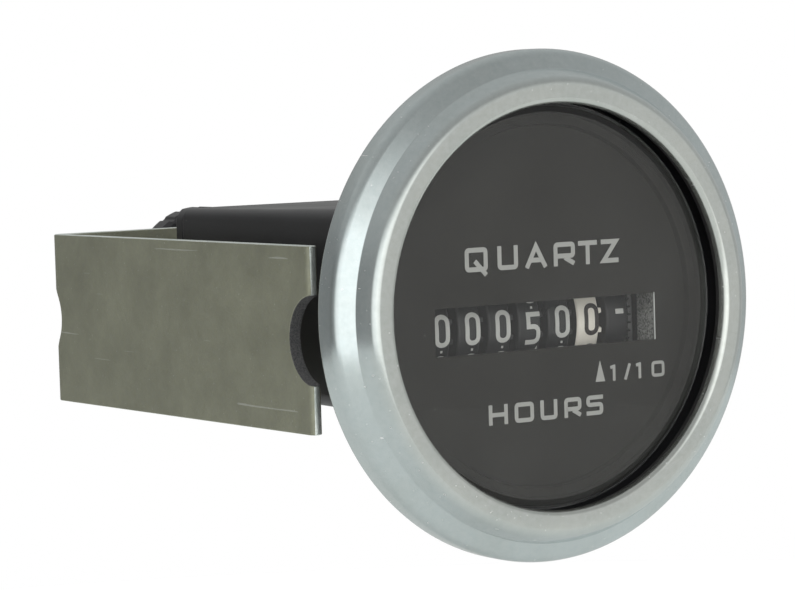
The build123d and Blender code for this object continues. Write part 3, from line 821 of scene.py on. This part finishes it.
class MakeDial(bpy.types.Operator):
    """Moulded dial with the window's walls, and its printed legends"""

    bl_idname = "hour_meter.dial"
    bl_label = "Dial and Legends"

    def execute(self, context):
        settings = context.scene.hour_meter_dial
        refined("dial", "meter", 0.06 * MM, dial_face(settings.face_colour), "dial_black", "dial_disc")
        ink = printing_ink("legend_ink", settings.ink_colour)
        words = {
            "legend_upper": (
                (
                    ("Q", 3.2, 0), ("U", 2.9, 1.4), ("A", 3.0, 1.1),
                    ("R", 3.1, 1.05), ("T", 2.75, 0.5), ("Z", 2.55, 0.6),
                ),
                -10.85 * MM, 4.5 * MM, 2.8 * MM, 0.56 * MM,
            ),
            "legend_lower": (
                (("H", 2.7, 0), ("O", 2.75, 0.98), ("U", 2.45, 0.95), ("R", 2.5, 1.02), ("S", 2.45, 0.75)),
                -8.1 * MM, -13.4 * MM, 2.35 * MM, 0.50 * MM,
            ),
            "legend_tenths": (
                (("1", 1.0, 0), ("/", 0.95, 1.1), ("1", 1.0, 0.8), ("0", 1.95, 1.35)),
                9.65 * MM, -9.55 * MM, 1.9 * MM, 0.38 * MM,
            ),
        }
        corner = 0.3 * MM
        for name, (letters, left, bottom, height, stroke) in words.items():
            bm = printed_word(name, letters, left, bottom, height, stroke, settings.ink_height, corner)
            bmesh.ops.translate(bm, verts=bm.verts, vec=(0, DIAL_FACE, 0))
            place(new_piece(name, bm), "meter", ink, "dial_black")
        bm = bmesh.new()
        corners = [(7.45, -9.5), (8.85, -9.5), (8.15, -7.0)]
        pointer = bm.faces.new([bm.verts.new((x * MM, DIAL_FACE, z * MM)) for x, z in corners])
        made = bmesh.ops.extrude_face_region(bm, geom=[pointer])
        verts = [item for item in made["geom"] if isinstance(item, bmesh.types.BMVert)]
        bmesh.ops.translate(bm, verts=verts, vec=(0, -settings.ink_height, 0))
        bmesh.ops.recalc_face_normals(bm, faces=bm.faces)
        place(new_piece("legend_pointer", bm), "meter", ink, "dial_black")
        return {"FINISHED"}


class MakeCounter(bpy.types.Operator):
    """Number drums with rounded band edges, and the figures printed round them"""

    bl_idname = "hour_meter.counter"
    bl_label = "Counter Drums and Figures"

    def figures(self, index, settings, radius, middle):
        """The ten figures of a drum, laid flat in a column with the one that is read at its middle."""
        pitch = 2 * pi * radius / 10
        width, height = settings.figure_width, settings.figure_height
        left = middle + settings.figure_shift - width / 2
        shown = READING[index]
        lift = settings.figure_lift - (settings.figure_lag if shown else 0)
        bm = bmesh.new()
        for figure in range(10):
            offset = (figure - shown) % 10
            offset = offset - 10 if offset > 5 else offset
            bottom = offset * pitch + lift - height / 2
            add_strokes(bm, str(figure), left, bottom, width, height, settings.figure_stroke, 0.7 * MM)
        return raised_strokes("figures", bm, settings.figure_stroke, PRINT_DEPTH)

    def marks(self, radius, left, right, tall, lift, places):
        """Small printed bars, laid flat at the given tenths of a turn, each from left to right."""
        pitch = 2 * pi * radius / 10
        bm = bmesh.new()
        for k in places:
            z = k * pitch + lift
            bm.edges.new((bm.verts.new((left, 0, z)), bm.verts.new((right, 0, z))))
        return raised_strokes("marks", bm, tall, PRINT_DEPTH)

    def execute(self, context):
        settings = context.scene.hour_meter_counter
        black = moulded_plastic(
            "drum_black", (0.012, 0.012, 0.013), 0.30, grain=5200.0, strength=0.08, dust=0.25,
        )
        ivory = moulded_plastic("drum_white", settings.ivory, 0.42, grain=5200.0, strength=0.10, dust=0.2)
        white_ink = printing_ink("figure_white", (0.66, 0.66, 0.63))
        dark_ink = printing_ink("figure_dark", (0.035, 0.028, 0.026))
        for index, name in enumerate(DRUMS):
            node = f"{name}_drum"
            body = f"{name}_drum"
            corner, far = low(node), high(node)
            axis = (corner + far) / 2
            radius = (far.z - corner.z) / 2
            tenths = name == "tenths"
            slot = "drum_white" if tenths else "drum_black"
            drum = refined(node, body, 0.05 * MM, ivory if tenths else black, slot)
            middle = axis.x
            printed = middle + settings.figure_shift
            if tenths:
                drum.data.materials.append(black)
                band_left = middle - settings.band / 2 + 0.02 * MM
                for face in drum.data.polygons:
                    if face.center.x < band_left:
                        face.material_index = 1
            if name == "run":
                dash_left, dash_right = printed - 0.7 * MM, printed + 0.48 * MM
                bm = self.marks(radius, dash_left, dash_right, 0.6 * MM, 0.9 * MM, TENTHS_OF_TURN)
            else:
                bm = self.figures(index, settings, radius, middle)
            wrap_on_drum(bm, radius, axis)
            place(new_piece(f"{name}_figures", bm), body, dark_ink if tenths else white_ink, slot)
            if name in ("run", "tenths"):
                continue
            shown = READING[index]
            half_dot = 0.14 * MM
            lift = pi * radius / 10 + settings.figure_lift - (settings.figure_lag if shown else 0)
            after_odd = [k for k in TENTHS_OF_TURN if (k + shown) % 2]
            bm = self.marks(radius, printed - half_dot, printed + half_dot, 2 * half_dot, lift, after_odd)
            wrap_on_drum(bm, radius, axis)
            place(new_piece(f"{name}_dots", bm), body, white_ink, slot)
        return {"FINISHED"}


class MakeHousing(bpy.types.Operator):
    """Moulded case and rear cover, with their screws and terminal blades"""

    bl_idname = "hour_meter.housing"
    bl_label = "Housing"

    def execute(self, context):
        black = moulded_plastic(
            "case_black", (0.010, 0.010, 0.011), 0.34, grain=2400.0, strength=0.22, dust=0.6,
        )
        refined("case", "meter", 0.25 * MM, black, "case_black")
        refined("rear_cover", "meter", 0.25 * MM, black, "case_black")
        steel = turned_metal("steel_hardware", (0.66, 0.67, 0.68), 0.30)
        refined("cover_screws", "meter", 0.06 * MM, steel, "steel_hardware")
        brass = turned_metal("brass", (0.72, 0.56, 0.28), 0.28)
        for side in ("left", "right"):
            refined(f"terminal_blade_{side}", "meter", 0.08 * MM, brass, "brass")
        return {"FINISHED"}


class MakeClamp(bpy.types.Operator):
    """Clamp strap with sheared edges, threaded stud, washers and fluted thumb nut"""

    bl_idname = "hour_meter.clamp"
    bl_label = "Clamp"

    def strap(self, settings):
        strap = refined("clamp_strap", "strap", 0.14 * MM, zinc_strap(settings.strap_colour), "zinc_strap")
        strap.data.materials.append(cut_edge_painted_highlight())
        strap.data.materials.append(notch_painted_shade())
        corner, far = low("clamp_strap"), high("clamp_strap")
        front, middle = corner.y, (corner.z + far.z) / 2
        leg = far.x - 1.0 * MM
        notch_half, notch_depth = 5.3 * MM, 5 * MM
        for face in strap.data.polygons:
            centre, normal = face.center, face.normal
            sheared = abs(normal.z) > 0.9 or (normal.y < -0.9 and centre.y < front + 1 * MM)
            on_edge = abs(centre.x) > leg and abs(normal.x) < 0.3
            in_notch = on_edge and (not sheared or abs(centre.z - middle) < notch_half)
            # Slot 2 gets the notch walls with their painted shade; slot 1 the sheared and cut edges with
            # their painted highlight.
            if in_notch and centre.y < front + notch_depth:
                face.material_index = 2
            elif sheared or on_edge:
                face.material_index = 1

    def thread(self, settings, start, end, radius):
        """Threaded stud: one pitch of the outline, spun along the axis and cut square at both ends."""
        pitch = settings.thread_pitch
        root, flank = radius - 0.54 * pitch, radius - 0.02 * MM
        outline = (
            (root, 0), (flank, 0.38 * pitch), (radius, 0.5 * pitch), (flank, 0.62 * pitch), (root, pitch),
        )
        bm = bmesh.new()
        rounded_wire(bm, [(r, start - pitch + y, 0) for r, y in outline])
        turns, steps = int((end - start) / pitch) + 2, 24
        bmesh.ops.spin(
            bm, geom=bm.verts[:] + bm.edges[:], cent=(0, 0, 0), axis=AXIS, dvec=(0, pitch / steps, 0),
            angle=2 * pi * turns, steps=steps * turns, use_merge=False, use_duplicate=False,
        )
        bmesh.ops.remove_doubles(bm, verts=bm.verts, dist=1e-6)
        for y, keep in ((start, -1), (end, 1)):
            geometry = bm.verts[:] + bm.edges[:] + bm.faces[:]
            bmesh.ops.bisect_plane(
                bm, geom=geometry, plane_co=(0, y, 0), plane_no=(0, keep, 0), clear_outer=True, dist=1e-8,
            )
        bmesh.ops.holes_fill(bm, edges=[edge for edge in bm.edges if edge.is_boundary], sides=0)
        bmesh.ops.recalc_face_normals(bm, faces=bm.faces)
        return bm

    def execute(self, context):
        settings = context.scene.hour_meter_clamp
        self.strap(settings)
        steel = turned_metal("washer_steel", (0.62, 0.63, 0.63), 0.32)
        stud_end = high("clamp_stud").y
        stud_radius = 2.5 * MM
        bm = self.thread(settings, high("rear_cover").y - 2.0 * MM, stud_end, stud_radius)
        place(new_piece("clamp_thread", bm), "meter", steel, "steel_hardware", "clamp_stud")
        refined("plain_washer", "washers", 0.15 * MM, steel, "steel_hardware")
        refined("spring_washer", "washers", 0.10 * MM, steel, "steel_hardware")
        nut = moulded_plastic("nut_black", (0.010, 0.010, 0.011), 0.36, grain=2400.0, strength=0.25, dust=0.8)
        refined("thumb_nut", "nut", 0.12 * MM, nut, "nut_black")
        return {"FINISHED"}


class FinishMovement(bpy.types.Operator):
    """Materials of the plates, train, motor and board inside the case"""

    bl_idname = "hour_meter.movement"
    bl_label = "Movement Materials"

    def execute(self, context):
        nylon = moulded_plastic(
            "natural_nylon", (0.62, 0.58, 0.48), 0.45, grain=3000.0, strength=0.15, dust=0.2,
        )
        magnet = moulded_plastic("magnet_grey", (0.05, 0.05, 0.055), 0.6, grain=2600.0, strength=0.6)
        sleeve = moulded_plastic("capacitor_sleeve", (0.02, 0.03, 0.12), 0.25, grain=2600.0, strength=0.1)
        steel = turned_metal("plain_steel", (0.56, 0.56, 0.57), 0.30)
        brass = turned_metal("turned_brass", (0.70, 0.54, 0.26), 0.26)
        tinned = turned_metal("tinned", (0.72, 0.72, 0.70), 0.34)
        black = moulded_plastic("component_black", (0.012, 0.012, 0.012), 0.5, grain=3000.0, strength=0.3)
        finishes = {
            nylon: ["idler_pinion", "idler_wheel", "rotor_pinion", "motor_cradle", "coil_bobbin"],
            steel: [
                "left_plate", "right_plate", "drum_shaft", "carry_shaft", "shaft_clips", "rotor_arbor",
                "stator", "coil_core",
            ],
            brass: ["idler_arbor", "tie_bars"],
            tinned: ["quartz_crystal", "supply_leads"],
            black: ["driver_chip", "resistors", "protection_diode", "board_posts"],
            magnet: ["rotor_magnet"],
            sleeve: ["smoothing_capacitor"],
            wound_copper(): ["coil_winding"],
            lacquered_board(): ["circuit_board"],
        }
        finishes[nylon] += [f"{name}_carry_pinion" for name in DRUMS[:-1]]
        for material, nodes in finishes.items():
            for node in nodes:
                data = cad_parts[node].data
                data.materials.clear()
                data.materials.append(material)
        return {"FINISHED"}


class MakeStage(bpy.types.Operator):
    """Pale floor, soft light and the camera"""

    bl_idname = "hour_meter.stage"
    bl_label = "Stage"

    def floor(self, settings):
        bm = bmesh.new()
        bmesh.ops.create_circle(bm, cap_ends=True, segments=96, radius=settings.floor_radius)
        bmesh.ops.translate(bm, verts=bm.verts, vec=(0, 0, -settings.floor_drop))
        floor = new_piece("floor", bm)
        finish = Finish("pale_floor", Roughness=0.9, Specular_IOR_Level=0.1)
        tree = finish.tree
        soft = noise(tree, finish.place, 6.0, 2.0)
        pale = blend_colour(tree, soft, (0.88, 0.88, 0.875), (0.91, 0.91, 0.905))
        path = add(tree, "ShaderNodeLightPath").outputs
        finish.feed(Base_Color=blend_colour(tree, path["Is Glossy Ray"], pale, (0.42, 0.43, 0.42)))
        finish.feed(Emission_Strength=calc(tree, "MULTIPLY", path["Is Camera Ray"], 0.35))
        finish.shader.inputs["Emission Color"].default_value = (1.0, 1.0, 1.0, 1.0)
        floor.data.materials.append(finish.material)

    def world(self):
        """White surround, which glossy faces see as a bright front, a mid right side and a dim rear."""
        world = bpy.data.worlds.new("studio")
        bpy.context.scene.world = world
        world.use_nodes = True
        tree = world.node_tree
        tree.nodes.clear()
        direction = add(tree, "ShaderNodeTexCoord").outputs["Generated"]
        parts = add(tree, "ShaderNodeSeparateXYZ", {0: direction}).outputs
        turn = calc(tree, "ARCTAN2", parts[0], calc(tree, "MULTIPLY", parts[1], -1.0))
        around = span(tree, turn, -pi, pi)
        ramp = add(tree, "ShaderNodeValToRGB", {0: around})
        degrees_and_levels = (
            (-180, 0.30), (-146, 0.24), (-104, 0.20), (-80, 0.34), (-58, 1.15), (-20, 1.45), (10, 1.20),
            (23, 0.62), (45, 0.62), (62, 0.45), (92, 0.50), (140, 0.42), (180, 0.30),
        )
        elements = ramp.color_ramp.elements
        while len(elements) < len(degrees_and_levels):
            elements.new(0.5)
        for element, (angle, level) in zip(elements, degrees_and_levels):
            element.position = (angle + 180) / 360
            element.color = (level / 2, level / 2, level / 2, 1.0)
        level_side = calc(tree, "MULTIPLY", ramp.outputs[0], 2.0)
        upper = span(tree, parts[1], -0.6, 0.5, 0.38, 0.50)
        height = span(tree, parts[2], 0.25, 0.62)
        side_share = calc(tree, "MULTIPLY", level_side, calc(tree, "SUBTRACT", 1.0, height))
        level = calc(tree, "ADD", side_share, calc(tree, "MULTIPLY", upper, height))
        red, blue = calc(tree, "MULTIPLY", level, 0.99), calc(tree, "MULTIPLY", level, 0.985)
        tinted = add(tree, "ShaderNodeCombineColor", {0: red, 1: level, 2: blue})
        soft = add(tree, "ShaderNodeBackground", {"Color": tinted.outputs[0], "Strength": 1.0})
        white = add(tree, "ShaderNodeBackground", {"Color": (1.0, 1.0, 1.0, 1.0), "Strength": 1.0})
        glossy = add(tree, "ShaderNodeLightPath").outputs["Is Glossy Ray"]
        mixed = add(tree, "ShaderNodeMixShader", {0: glossy, 1: white.outputs[0], 2: soft.outputs[0]})
        output = add(tree, "ShaderNodeOutputWorld")
        tree.links.new(mixed.outputs[0], output.inputs["Surface"])

    def softbox(self, name, location, size, power, aim=(0, 0.02, 0)):
        data = bpy.data.lights.new(name, "AREA")
        data.shape = "RECTANGLE"
        data.size, data.size_y = size
        data.energy = power
        light = bpy.data.objects.new(name, data)
        light.location = location
        light.rotation_euler = (Vector(aim) - Vector(location)).to_track_quat("-Z", "Y").to_euler()
        light.visible_camera = False
        light.visible_glossy = False
        light.visible_transmission = False
        bpy.context.scene.collection.objects.link(light)

    def camera(self, settings):
        azimuth, elevation, roll = settings.azimuth, settings.elevation, settings.roll
        forward = Vector((sin(azimuth) * cos(elevation), cos(azimuth) * cos(elevation), -sin(elevation)))
        level_right = forward.cross(Vector((0, 0, 1))).normalized()
        level_up = level_right.cross(forward)
        right = level_right * cos(roll) + level_up * sin(roll)
        up = level_up * cos(roll) - level_right * sin(roll)
        turned = Matrix((right, up, -forward)).transposed().to_4x4()
        data = bpy.data.cameras.new("camera")
        data.lens = settings.focal_length
        data.sensor_width = 36.0
        data.clip_start = 0.01
        camera = bpy.data.objects.new("camera", data)
        camera.matrix_world = Matrix.Translation(Vector(settings.aim) - forward * settings.distance) @ turned
        bpy.context.scene.collection.objects.link(camera)
        bpy.context.scene.camera = camera

    def execute(self, context):
        settings = context.scene.hour_meter_stage
        self.floor(settings)
        self.world()
        self.softbox("key", (-0.35, -0.45, 0.55), (0.5, 0.5), 3.0)
        self.softbox("fill", (0.55, -0.30, 0.25), (0.6, 0.6), 1.0)
        self.softbox("top", (0.0, 0.15, 0.8), (0.9, 0.9), 3.0)
        self.camera(settings)
        view = context.scene.view_settings
        view.view_transform = "Standard"
        view.look = "None"
        return {"FINISHED"}


class HourMeterPanel(bpy.types.Panel):
    """Lists the pieces of the hour meter"""

    bl_idname = "VIEW3D_PT_hour_meter"
    bl_label = "Hour Meter"
    bl_space_type = "VIEW_3D"
    bl_region_type = "UI"
    bl_category = "Hour Meter"

    def draw(self, context):
        for operator in OPERATORS:
            self.layout.operator(operator.bl_idname)
        for group, fields in GROUPS.items():
            box = self.layout.box()
            settings = getattr(context.scene, group)
            for field in fields.__annotations__:
                box.prop(settings, field)


GROUPS = {
    "hour_meter_bezel": BezelSettings,
    "hour_meter_dial": DialSettings,
    "hour_meter_counter": CounterSettings,
    "hour_meter_clamp": ClampSettings,
    "hour_meter_stage": StageSettings,
}
OPERATORS = (
    MakeBezel, MakeWindow, MakeDial, MakeCounter, MakeHousing, MakeClamp, FinishMovement, MakeStage,
)
CLASSES = (*GROUPS.values(), *OPERATORS, HourMeterPanel)


def register():
    for each in CLASSES:
        bpy.utils.register_class(each)
    for group, kind in GROUPS.items():
        setattr(bpy.types.Scene, group, PointerProperty(type=kind))


def unregister():
    for group in GROUPS:
        delattr(bpy.types.Scene, group)
    for each in reversed(CLASSES):
        bpy.utils.unregister_class(each)


def main():
    register()
    bpy.ops.hour_meter.bezel()
    bpy.ops.hour_meter.window()
    bpy.ops.hour_meter.dial()
    bpy.ops.hour_meter.counter()
    bpy.ops.hour_meter.housing()
    bpy.ops.hour_meter.clamp()
    bpy.ops.hour_meter.movement()
    bpy.ops.hour_meter.stage()


if __name__ == "__main__":
    main()
